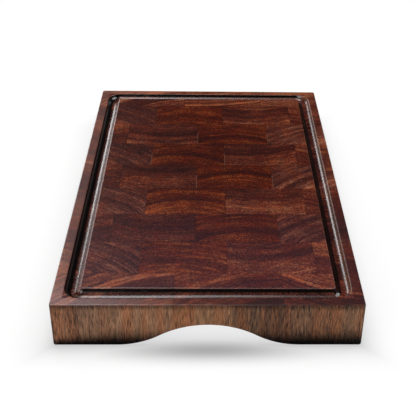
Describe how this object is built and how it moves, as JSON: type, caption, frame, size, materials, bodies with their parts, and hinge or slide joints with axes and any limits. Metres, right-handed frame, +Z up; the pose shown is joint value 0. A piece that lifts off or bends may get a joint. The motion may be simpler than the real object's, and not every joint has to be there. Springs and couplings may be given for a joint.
{
  "type": "butcher block cutting board",
  "caption": "End-grain walnut cutting board of blocks glued up in staggered rows, with a juice groove round the top and arched finger grips under its short ends.",
  "frame": {"origin": "middle of the underside, on the surface that the board lies on", "axes": "+X to the right across the width, +Y along the length from the pictured short end to the far one, +Z up through the thickness"},
  "size_m": [0.3174, 0.508, 0.053],
  "materials": {
    "walnut_dark": "oiled, satin",
    "walnut_brown": "oiled, satin",
    "walnut_light": "oiled, satin"
  },
  "bodies": {
    "root": {"back_end_left_block": "walnut_brown", "back_end_middle_block": "walnut_brown", "back_end_right_block": "walnut_light", "front_end_left_block": "walnut_brown", "front_end_middle_block": "walnut_brown", "front_end_right_block": "walnut_light", "row_2_left_edge_block": "walnut_dark", "row_2_left_middle_block": "walnut_brown", "row_2_right_edge_block": "walnut_light", "row_2_right_middle_block": "walnut_dark", "row_3_left_edge_block": "walnut_light", "row_3_left_middle_block": "walnut_dark", "row_3_right_edge_block": "walnut_dark", "row_3_right_middle_block": "walnut_brown", "row_4_left_edge_block": "walnut_dark", "row_4_left_middle_block": "walnut_brown", "row_4_right_edge_block": "walnut_light", "row_4_right_middle_block": "walnut_dark", "row_5_left_edge_block": "walnut_light", "row_5_left_middle_block": "walnut_dark", "row_5_right_edge_block": "walnut_dark", "row_5_right_middle_block": "walnut_brown", "row_6_left_edge_block": "walnut_dark", "row_6_left_middle_block": "walnut_brown", "row_6_right_edge_block": "walnut_light", "row_6_right_middle_block": "walnut_dark", "row_7_left_edge_block": "walnut_light", "row_7_left_middle_block": "walnut_dark", "row_7_right_edge_block": "walnut_dark", "row_7_right_middle_block": "walnut_brown", "row_8_left_edge_block": "walnut_dark", "row_8_left_middle_block": "walnut_brown", "row_8_right_edge_block": "walnut_light", "row_8_right_middle_block": "walnut_dark"}
  },
  "joints": []
}
